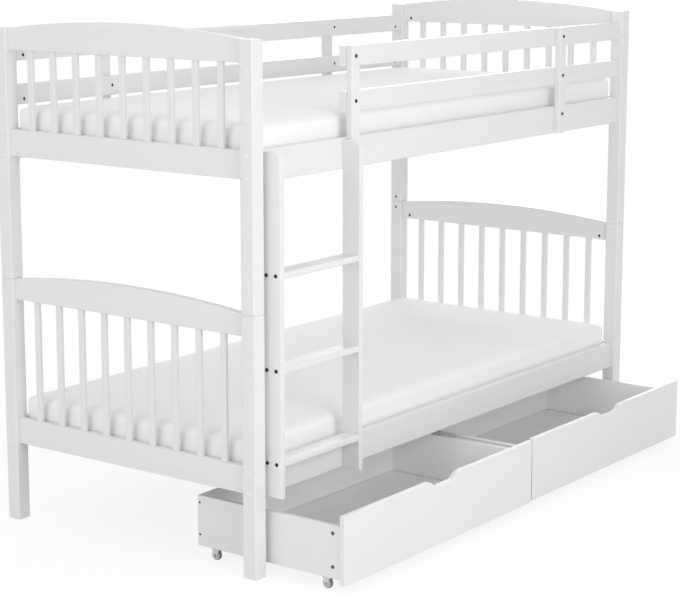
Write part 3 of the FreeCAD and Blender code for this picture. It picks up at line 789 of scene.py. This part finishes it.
nut_spots = []
for level in LEVELS:
    for side in SIDES:
        node = f"{level}_{side}_top_rail"
        place_low, place_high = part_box(node)
        rail = copy_to(arch, place_low - low)
        rail.name = rail.data.name = node + "_dressed"
        inner = place_high.x if side == "left" else place_low.x
        spots = [(Vector((inner, across, place_low.z + NUT_UP)), INWARD[side])
                 for across in (place_low.y + NUT_FROM_POST, place_high.y - NUT_FROM_POST)]
        drill(rail, spots, nut_spots)
        hand_over(rail, BED, WOOD, LACQUER[ACROSS], node)
bpy.data.objects.remove(arch)
print("arched rails: 4, barrel nuts so far:", len(nut_spots))

# %% Bottom rails and spindles
SPINDLE_COUNT = 9
SPINDLE_WIDTH = 0.020
SPINDLE_ROUND = 0.002

for level in LEVELS:
    for side in SIDES:
        node = f"{level}_{side}_bottom_rail"
        rail = board(node + "_dressed", *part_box(node), ACROSS)
        hand_over(rail, BED, WOOD, LACQUER[ACROSS], node)
        node = f"{level}_{side}_spindles"
        low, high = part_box(node)
        spindle = board("spindle", low, (high.x, low.y + SPINDLE_WIDTH, high.z), UPRIGHT, SPINDLE_ROUND)
        reach = high.y - low.y - SPINDLE_WIDTH
        spindles = row(node + "_dressed", spindle, SPINDLE_COUNT, ACROSS, reach)
        hand_over(spindles, BED, WOOD, LACQUER[UPRIGHT], node)
print("bottom rails: 4, spindles:", 4 * SPINDLE_COUNT)

# %% [markdown]
# ## Guards
# Two boards run along each side of the upper bunk. They are bolted to the posts, and to uprights
# that stand on their outer faces and reach down over the side rail. The front boards stop short to
# leave the way in from the ladder. Barrel nuts show on the inner faces, connector heads outside. A
# mirror modifier would copy one side to the other, but the two sides differ, so a loop makes both.

# %% Guard boards
UPRIGHT_WIDTH = 0.040
GUARD_NUT_FROM_POST = 0.032
GUARD_NUT_UP = 0.016
UPRIGHT_NUT_UP = 0.031
INNER_FACE = {"front": "rear", "rear": "front"}

upright_low, upright_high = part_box("front_guard_uprights")
upright_middles = (upright_low.x + UPRIGHT_WIDTH / 2, upright_high.x - UPRIGHT_WIDTH / 2)

for face in FACES:
    for height in LEVELS:
        node = f"{face}_guard_{height}_board"
        low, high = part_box(node)
        guard = board(node + "_dressed", low, high, ALONG)
        inner = high.y if face == "front" else low.y
        places = [(along, UPRIGHT_NUT_UP) for along in upright_middles]
        places.append((high.x - GUARD_NUT_FROM_POST, GUARD_NUT_UP))
        if face == "rear":
            places.append((low.x + GUARD_NUT_FROM_POST, GUARD_NUT_UP))
        spots = [(Vector((along, inner, low.z + up)), INNER_FACE[face]) for along, up in places]
        drill(guard, spots, nut_spots)
        hand_over(guard, BED, WOOD, LACQUER[ALONG], node)
print("guard boards: 4, the last measures", size_of(guard))

# %% Guard uprights and their connectors
CONNECTOR_DROPS = (0.029, 0.158, 0.287)

connector_spots = []
for face in FACES:
    node = f"{face}_guard_uprights"
    low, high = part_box(node)
    outer = low.y if face == "front" else high.y
    upright = board("upright", low, (low.x + UPRIGHT_WIDTH, high.y, high.z), UPRIGHT)
    uprights = row(node + "_dressed", upright, 2, ALONG, high.x - low.x - UPRIGHT_WIDTH)
    hand_over(uprights, BED, WOOD, LACQUER[UPRIGHT], node)
    for along in upright_middles:
        for drop in CONNECTOR_DROPS:
            connector_spots.append((Vector((along, outer, high.z - drop)), face))
print("uprights: 4, connectors:", len(connector_spots))

# %% [markdown]
# ## Ladder
# The ladder stands upright against the two front rails. Its stringers have the corner that faces
# the climber rounded off at the top, and each of the three flat rungs is held by two connectors at
# each end. A round cutter could take the corner off. One wide bevel of one edge gives the same
# quarter round. The rungs get a bigger round than the other boards, because bare feet stand on them.

# %% Ladder rungs
RUNG_COUNT = 3
RUNG_THICK = 0.020
RUNG_ROUND = 0.005

rung_low, rung_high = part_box("ladder_rungs")
rung = board("rung", rung_low, (rung_high.x, rung_high.y, rung_low.z + RUNG_THICK), ALONG, RUNG_ROUND)
rung_reach = rung_high.z - rung_low.z - RUNG_THICK
rungs = row("ladder_rungs_dressed", rung, RUNG_COUNT, UPRIGHT, rung_reach)
hand_over(rungs, BED, WOOD, LACQUER[ALONG], "ladder_rungs")
print("rungs:", RUNG_COUNT, "at a pitch of", round(rung_reach / (RUNG_COUNT - 1), 3), "m")

# %% Ladder stringers
STRINGER_CROWN = 0.026
STRINGER_ROUND = 0.0025
RUNG_CONNECTORS = (0.012, 0.045)

for side in SIDES:
    node = f"ladder_{side}_stringer"
    low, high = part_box(node)
    stringer = blank(node + "_dressed", low, high)
    bpy.ops.object.mode_set(mode="EDIT")
    top_line = lies_at(UPRIGHT, high.z)
    front_line = lies_at(ACROSS, low.y)
    round_edges(stringer, lambda first, second: top_line(first, second)
                and front_line(first, second), STRINGER_CROWN, steps=10)
    round_edges(stringer, lies_at(ALONG, low.x, high.x), STRINGER_ROUND, steps=4)
    bpy.ops.object.mode_set(mode="OBJECT")
    hand_over(stringer, BED, WOOD, LACQUER[UPRIGHT], node)
    outer = low.x if side == "left" else high.x
    for number in range(RUNG_COUNT):
        for back in RUNG_CONNECTORS:
            height = rung_low.z + RUNG_THICK / 2 + number * rung_reach / (RUNG_COUNT - 1)
            connector_spots.append((Vector((outer, high.y - back, height)), side))
print("stringers: 2, the last measures", size_of(stringer))

# %% [markdown]
# ## Mattresses
# Each bunk has a foam mattress in a white cover, about 12 cm thick, with straight sides and softly
# rounded edges. A foam core in a tight cover swells a little, so the cover is simulated: a block
# is divided into a grid, given a slight crown, and blown up as cloth. Its underside and its four
# upright corners are held, as foam holds them, and its movement is capped just short of the rails.
# Both mattresses are the same, so the cover is simulated once, and the second copy is turned end
# for end.

# %% Mattress block
COVER_CAP = 0.005
SNUG_SIDE = 0.001
END_REACH = 0.005
MATTRESS_EDGE = 0.017
MATTRESS_CROWN = 0.005
CELLS_ALONG = 96
CELLS_ACROSS = 44
CELLS_UP = 6

low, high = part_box("lower_mattress")
inset = Vector((-END_REACH, SNUG_SIDE, 0))
block_low = low + inset
block_high = high - inset - Vector((0, 0, COVER_CAP + MATTRESS_CROWN))
block_middle = (block_low + block_high) / 2
mattress = blank("mattress", block_low, block_high)
bpy.ops.object.mode_set(mode="EDIT")
for axis, cells in ((ALONG, CELLS_ALONG), (ACROSS, CELLS_ACROSS), (UPRIGHT, CELLS_UP)):
    choose_edges(mattress, runs(axis))
    bpy.ops.mesh.subdivide(number_cuts=cells - 1)


def on_block_edge(first, second):
    """A test for the twelve edges of the block, which lie in two of its sides at once."""
    sides = [lies_at(axis, block_low[axis], block_high[axis])(first, second) for axis in range(3)]
    return sum(sides) > 1


round_edges(mattress, on_block_edge, MATTRESS_EDGE, steps=4)
for axis, cells in ((ALONG, CELLS_ALONG), (ACROSS, CELLS_ACROSS)):
    for cell in range(2, cells - 1):
        line = block_low[axis] + (block_high[axis] - block_low[axis]) * cell / cells
        share = (line - block_middle[axis]) / (block_middle[axis] - block_low[axis])
        choose_points(mattress, lambda point: abs(point[axis] - line) < TINY
                      and point.z > block_high.z - TINY)
        bpy.ops.transform.translate(value=(0, 0, MATTRESS_CROWN / 2 * (1 - share ** 4)))
bpy.ops.object.mode_set(mode="OBJECT")
print("mattress block:", len(mattress.data.polygons), "faces")

# %% Simulated cover
COVER_PRESSURE = 4
COVER_FRAMES = 20
HELD_BELOW = 0.012
HELD_CORNER = 0.025


def is_held(point):
    """True for a point of the underside or of an upright corner."""
    near_end = min(point.x - block_low.x, block_high.x - point.x) < HELD_CORNER
    near_side = min(point.y - block_low.y, block_high.y - point.y) < HELD_CORNER
    return point.z < block_low.z + HELD_BELOW or (near_end and near_side)


def blow_up(piece):
    """Swell a divided block as cloth, with some points held, and cap how far it moves."""
    held = piece.vertex_groups.new(name="held")
    held.add([point.index for point in piece.data.vertices if is_held(point.co)], 1, "REPLACE")
    before = [point.co.copy() for point in piece.data.vertices]
    pick(piece)
    bpy.ops.object.modifier_add(type="CLOTH")
    cloth = piece.modifiers[-1]
    cloth.settings.use_pressure = True
    cloth.settings.uniform_pressure_force = COVER_PRESSURE
    cloth.settings.vertex_group_mass = "held"
    cloth.settings.effector_weights.gravity = 0
    for number in range(1, COVER_FRAMES + 1):
        bpy.context.scene.frame_set(number)
    bpy.ops.object.modifier_apply(modifier=cloth.name)
    bpy.context.scene.frame_set(1)
    farthest = 0
    for point, rest in zip(piece.data.vertices, before):
        moved = point.co - rest
        farthest = max(farthest, moved.length)
        if moved.length > COVER_CAP:
            point.co = rest + moved * (COVER_CAP / moved.length)
    return farthest


print("cover swelled by up to", round(blow_up(mattress) * 1000, 1), "mm before the cap")
apply_modifier(mattress, "SUBSURF", levels=1, render_levels=1)
print("mattress cover:", len(mattress.data.polygons), "faces")

# %% Both mattresses
centre = (low + high) / 2
for level, turned in (("lower", False), ("upper", True)):
    node = f"{level}_mattress"
    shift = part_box(node)[0] - low
    here = copy_to(mattress, (0, 0, 0))
    for point in here.data.vertices:
        if turned:
            point.co.x = 2 * centre.x - point.co.x
            point.co.y = 2 * centre.y - point.co.y
        point.co += shift
    here.name = here.data.name = node + "_cover"
    pick(here)
    bpy.ops.object.shade_smooth()
    here.data.materials.append(cover)
    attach(here, BED)
    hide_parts(node)
    print(node, "cover measures", size_of(here))
bpy.data.objects.remove(mattress)

# %% [markdown]
# ## Drawers
# Each drawer is a box of coated board with a taller front. The front's grip is a shallow dip in the
# middle of its top edge. A boolean could cut it, but then its corners would be hard to round: so the
# panel is cut across at four places, the two middle cuts are lowered, the cuts are dissolved again
# where they leave a flat face, and the corners of the dip are rounded.

# %% Drawer fronts
PANEL_SLOT = "white_drawer_panel"
GRIP_WIDTH = 0.150
GRIP_DEPTH = 0.019
GRIP_RUN = 0.031
GRIP_FLOW = 0.0068
PANEL_ROUND = 0.0012
FLAT_ANGLE = 0.01

for side in SIDES:
    body = f"{side}_drawer"
    node = f"{body}_front"
    low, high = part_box(node)
    panel = blank(node + "_dressed", low, high)
    middle = (low.x + high.x) / 2
    outer_cut = GRIP_WIDTH / 2
    inner_cut = GRIP_WIDTH / 2 - GRIP_RUN
    bpy.ops.object.mode_set(mode="EDIT")
    for cut in (-outer_cut, -inner_cut, inner_cut, outer_cut):
        bpy.ops.mesh.select_all(action="SELECT")
        bpy.ops.mesh.bisect(plane_co=(middle + cut, 0, 0), plane_no=(1, 0, 0))
    choose_points(panel, lambda point: abs(point.z - high.z) < TINY
                  and abs(point.x - middle) < inner_cut + TINY)
    bpy.ops.transform.translate(value=(0, 0, -GRIP_DEPTH))
    bpy.ops.mesh.select_all(action="SELECT")
    bpy.ops.mesh.dissolve_limited(angle_limit=FLAT_ANGLE)
    runs_back = runs(ACROSS)
    round_edges(panel, lambda first, second: runs_back(first, second)
                and abs(first.x - middle) < outer_cut + TINY
                and first.z > high.z - GRIP_DEPTH - TINY, GRIP_FLOW, steps=5)
    round_edges(panel, lies_at(ACROSS, low.y, high.y), PANEL_ROUND, steps=3)
    bpy.ops.object.mode_set(mode="OBJECT")
    hand_over(panel, body, PANEL_SLOT, drawer_panel, node)
print("drawer fronts: 2, the last measures", size_of(panel))

# %% [markdown]
# ### Drawer boxes
# Screws through the sides hold the back, and larger connectors hold the front. The bottom lies with
# a little play in a groove of the walls and the back. The groove's upper edge shows as a fine dark
# line, so it is carved and not painted.

# %% Drawer walls
WALL_THICK = 0.016
GROOVE_DEPTH = 0.003
GROOVE_RISE = 0.001
FRONT_CONNECTOR_BACK = 0.027
CONNECTOR_HEIGHTS = (0.034, 0.131)
SCREW_FROM_BACK = 0.008


def groove(body):
    """A cutter for the groove that holds the bottom of a drawer."""
    wall_low, wall_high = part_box(f"{body}_sides")
    back_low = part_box(f"{body}_back")[0]
    bottom_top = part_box(f"{body}_bottom")[1].z
    skin = WALL_THICK - GROOVE_DEPTH
    return blank("groove", (wall_low.x + skin, wall_low.y + GROOVE_DEPTH, bottom_top),
                 (wall_high.x - skin, back_low.y + GROOVE_DEPTH, bottom_top + GROOVE_RISE))


drawer_spots = {side: [] for side in SIDES}
screw_spots = {side: [] for side in SIDES}
for side in SIDES:
    body = f"{side}_drawer"
    low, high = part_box(f"{body}_sides")
    wall = board("wall", low, (low.x + WALL_THICK, high.y, high.z), ACROSS, PANEL_ROUND)
    walls = row(f"{body}_sides_dressed", wall, 2, ALONG, high.x - low.x - WALL_THICK)
    carve(walls, groove(body))
    inner_faces = (low.x + WALL_THICK, high.x - WALL_THICK)
    # The inner faces take the whiter inside lacquer, which is painted light.
    two_tone(walls, drawer_panel, drawer_inside_painted_light, lambda face: any(
        abs(face.center.x - plane) < TINY for plane in inner_faces))
    hand_over(walls, body, PANEL_SLOT, None, f"{body}_sides")
    for outer, facing in ((low.x, "left"), (high.x, "right")):
        for up in CONNECTOR_HEIGHTS:
            front_spot = Vector((outer, low.y + FRONT_CONNECTOR_BACK, low.z + up))
            back_spot = Vector((outer, high.y - SCREW_FROM_BACK, low.z + up))
            drawer_spots[side].append((front_spot, facing))
            screw_spots[side].append((back_spot, facing))
print("drawer walls: 4, the last pair measures", size_of(walls))

# %% Drawer backs and bottoms
GROOVE_PLAY = 0.0016
PLATE_ROUND = 0.0008
PLATE_END_ROUND = 0.0004

for side in SIDES:
    body = f"{side}_drawer"
    for part, play in (("back", 0), ("bottom", GROOVE_PLAY)):
        node = f"{body}_{part}"
        low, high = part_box(node)
        slack = Vector((play, play, 0))
        plate = board(node + "_dressed", low + slack, high - slack, ALONG, PLATE_ROUND, PLATE_END_ROUND)
        if part == "back":
            carve(plate, groove(body))
        # Backs and bottoms take the whiter inside lacquer, which is painted light.
        hand_over(plate, body, PANEL_SLOT, drawer_inside_painted_light, node)
print("drawer backs and bottoms: 4, the last measures", size_of(plate))

# %% [markdown]
# ## Casters
# Each drawer rolls on four small casters: a wheel with a rounded tread, a fork bent over it and a
# riveted axle. The wheel is a disc whose faces are inset in steps, each so far in and so deep. The
# fork could be bent from a flat sheet, but a block is easier: it is cut across at a few heights,
# each cut is drawn in, so that two narrow arms flare out into the top plate, the foot is rounded, and
# the middle is hollowed out to make room for the wheel.

# %% Wheel
TREAD_ROUND = 0.0028
TREAD_EDGE = 0.0005
# Each step: how far the face is drawn in, and how far it is raised.
HUB_STEPS = ((0.0024, 0), (0.0006, -0.0024), (0.0036, 0), (0.0006, 0.0022))

low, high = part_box("left_drawer_front_left_wheel")
wheel_radius = (high.z - low.z) / 2
wheel_half = (high.x - low.x) / 2
wheel_centre = (low + high) / 2

wheel = rod("wheel", wheel_radius, -wheel_half, wheel_half, sides=48)
bpy.ops.object.mode_set(mode="EDIT")
round_edges(wheel, lies_at(UPRIGHT, -wheel_half, wheel_half), TREAD_ROUND, steps=4)
choose(wheel, "FACE", lambda face: abs(face.normal.z) > STRAIGHT)
for inward, outward in HUB_STEPS:
    bpy.ops.mesh.inset(thickness=inward, depth=outward)
bpy.ops.object.mode_set(mode="OBJECT")
hub_radius = wheel_radius - TREAD_ROUND - TREAD_EDGE
two_tone(wheel, tread_rubber, grey_plastic, lambda face: from_axis(face) < hub_radius)
print("wheel:", len(wheel.data.polygons), "faces")

# %% Fork
CHEEK_GAP = 0.0008
CHEEK_THICK = 0.0015
FORK_TOP = 0.002
FORK_LENGTH = 0.034
FORK_FOOT = 0.0135
FORK_FOOT_ROUND = 0.006
# Each cut: how far it lies below the top, and how wide the fork is there.
FORK_CUTS = {0.0020: 0.0330, 0.0045: 0.0270, 0.0080: 0.0205, 0.0130: 0.0175}
FORK_EASE = 0.0004
FORK_EASE_ANGLE = 0.8

fork_half = wheel_half + CHEEK_GAP + CHEEK_THICK
fork_low, fork_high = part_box("left_drawer_caster_forks")
foot_z = fork_low.z - wheel_centre.z
top_z = fork_high.z - wheel_centre.z

fork = blank("fork", (-fork_half, -FORK_LENGTH / 2, foot_z), (fork_half, FORK_LENGTH / 2, top_z))
bpy.ops.object.mode_set(mode="EDIT")
widths = {top_z - drop: width for drop, width in FORK_CUTS.items()}
for level in widths:
    bpy.ops.mesh.select_all(action="SELECT")
    bpy.ops.mesh.bisect(plane_co=(0, 0, level), plane_no=(0, 0, 1))
widths[foot_z] = FORK_FOOT
for level, width in widths.items():
    choose_points(fork, lambda point: abs(point.z - level) < TINY)
    bpy.ops.transform.resize(value=(1, width / FORK_LENGTH, 1), center_override=(0, 0, level))
foot_line = lies_at(UPRIGHT, foot_z)
runs_sideways = runs(ALONG)
round_edges(fork, lambda first, second: foot_line(first, second)
            and runs_sideways(first, second), FORK_FOOT_ROUND, steps=6)
bpy.ops.object.mode_set(mode="OBJECT")
room_half = wheel_half + CHEEK_GAP
carve(fork, blank("wheel_room", (-room_half, -FORK_LENGTH, 2 * foot_z),
                  (room_half, FORK_LENGTH, top_z - FORK_TOP)))
apply_modifier(fork, "BEVEL", width=FORK_EASE, segments=2, limit_method="ANGLE",
               angle_limit=FORK_EASE_ANGLE)
print("fork:", len(fork.data.polygons), "faces")

# %% Axle
AXLE_RADIUS = 0.002
RIVET_RADIUS = 0.0034
RIVET_HEIGHT = 0.0008
RIVET_ROUND = 0.0005

axle = rod("axle", AXLE_RADIUS, -fork_half, fork_half, sides=20)
rivet = rod("rivet", RIVET_RADIUS, 0, RIVET_HEIGHT, sides=20)
round_rim(rivet, RIVET_HEIGHT, RIVET_ROUND, steps=3)
low_rivet = copy_to(rivet, (0, 0, -fork_half), (math.pi, 0, 0))
high_rivet = copy_to(rivet, (0, 0, fork_half))
bpy.data.objects.remove(rivet)
axle = joined("axle", [low_rivet, high_rivet, axle])
print("axle:", len(axle.data.polygons), "faces")

# %% Casters under both drawers
CORNERS = ("front_left", "front_right", "rear_left", "rear_right")

for side in SIDES:
    body = f"{side}_drawer"
    forks = []
    axles = []
    for corner in CORNERS:
        node = f"{body}_{corner}_wheel"
        low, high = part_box(node)
        place = (low + high) / 2
        rolling = copy_to(wheel, place, TURN_TO["right"])
        rolling.name = rolling.data.name = node + "_dressed"
        hand_over(rolling, node, "caster_tread", None, node)
        forks.append(copy_to(fork, place))
        axles.append(copy_to(axle, place, TURN_TO["right"]))
    forks = joined(f"{body}_forks_dressed", forks)
    hand_over(forks, body, "caster_plastic", grey_plastic, f"{body}_caster_forks")
    axles = joined(f"{body}_axles_dressed", axles)
    hand_over(axles, body, "zinc_steel", grey_steel, f"{body}_caster_axles")
for model in (wheel, fork, axle):
    bpy.data.objects.remove(model)
print("casters: 8")

# %% [markdown]
# ## Bolts in the posts
# Every rail and board is bolted through the posts. The heads are low and white, so they show only
# as soft rings. The same head is set at every bolt: two for each side rail, one for each end rail, and
# one at the height of each guard board, on all four corners alike. All copies are joined, because
# one mesh of many heads is easier to hand over than forty pieces.

# %% Bolt head
BOLT_RADIUS = 0.0075
BOLT_HEIGHT = 0.0024
BOLT_ROUND = 0.0013
# Each step: how far the face is drawn in, and how far it is raised.
BOLT_STEPS = ((0.0018, 0), (0.0006, -0.0008))

bolt = rod("post_bolt", BOLT_RADIUS, 0, BOLT_HEIGHT, sides=28)
bpy.ops.object.mode_set(mode="EDIT")
round_edges(bolt, lies_at(UPRIGHT, BOLT_HEIGHT), BOLT_ROUND, steps=4)
choose(bolt, "FACE", lambda face: face.normal.z > STRAIGHT)
for inward, outward in BOLT_STEPS:
    bpy.ops.mesh.inset(thickness=inward, depth=outward)
bpy.ops.object.mode_set(mode="OBJECT")
print("bolt head:", len(bolt.data.polygons), "faces")

# %% Post bolts
BOLT_SPREAD = 0.064
BOLT_RISE = 0.012

bolt_spots = []
for side in SIDES:
    for face in FACES:
        for level in LEVELS:
            post_low, post_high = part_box(f"{level}_{face}_{side}_post")
            end_face = post_low.x if side == "left" else post_high.x
            long_face = post_low.y if face == "front" else post_high.y
            rail_low, rail_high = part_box(f"{level}_{face}_side_rail")
            rail_middle = (rail_low + rail_high) / 2
            for offset in (-BOLT_SPREAD / 2, BOLT_SPREAD / 2):
                point = Vector((end_face, rail_middle.y, rail_middle.z + offset))
                bolt_spots.append((point, side))
            end_low, end_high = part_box(f"{level}_{side}_bottom_rail")
            end_middle = (end_low + end_high) / 2
            bolt_spots.append((Vector((end_middle.x, long_face, end_middle.z)), face))
            arch_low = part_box(f"{level}_{side}_top_rail")[0]
            bolt_spots.append((Vector((end_middle.x, long_face, arch_low.z + BOLT_RISE)), face))
        for height in LEVELS:
            guard_low, guard_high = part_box(f"{face}_guard_{height}_board")
            point = Vector((end_face, (guard_low.y + guard_high.y) / 2, guard_low.z + BOLT_RISE))
            bolt_spots.append((point, side))
bolts = joined("post_bolts_dressed", fit(bolt, bolt_spots))
hand_over(bolts, BED, "bolt_metal", white_coat, "post_bolts")
bpy.data.objects.remove(bolt)
print("post bolts:", len(bolt_spots))

# %% [markdown]
# ## Nuts, pins, connectors and screws
# The spots were kept while the boards were made, so all fasteners of a kind are now fitted in one go.
# A geometry node network could scatter them, but copies are plain meshes that any program can read.
# The wood screws at the backs of the drawers are connectors at a smaller scale.

# %% Nuts, pins, connectors and screws
SCREW_SHARE = 0.6

nuts = joined("barrel_nuts", fit(nut, nut_spots))
hand_over(nuts, BED, "bolt_metal", dark_oxide)
for face, finish in (("front", white_coat), ("rear", grey_steel)):
    pins = joined(f"{face}_seam_pins", fit(nut, pin_spots[face]))
    hand_over(pins, BED, "bolt_metal", finish)
heads = joined("frame_connectors", fit(connector, connector_spots))
hand_over(heads, BED, "bolt_metal", dark_oxide)
screw = copy_to(connector, (0, 0, 0))
pick(screw)
screw.scale = (SCREW_SHARE, SCREW_SHARE, SCREW_SHARE)
bpy.ops.object.transform_apply(location=True, rotation=True, scale=True)
for side in SIDES:
    body = f"{side}_drawer"
    connectors = joined(f"{body}_connectors", fit(connector, drawer_spots[side]))
    # The drawer connectors keep their dark sockets, which are painted shade.
    hand_over(connectors, body, "bolt_metal", None)
    screws = joined(f"{body}_screws", fit(screw, screw_spots[side]))
    hand_over(screws, body, "bolt_metal", dark_oxide)
for model in (nut, connector, hole, screw):
    bpy.data.objects.remove(model)
print("barrel nuts:", len(nut_spots), "frame connectors:", len(connector_spots))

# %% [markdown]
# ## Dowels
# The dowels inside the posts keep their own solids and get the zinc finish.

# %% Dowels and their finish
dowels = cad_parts["post_dowels"]
dowels.data.materials.clear()
dowels.data.materials.append(zinc)
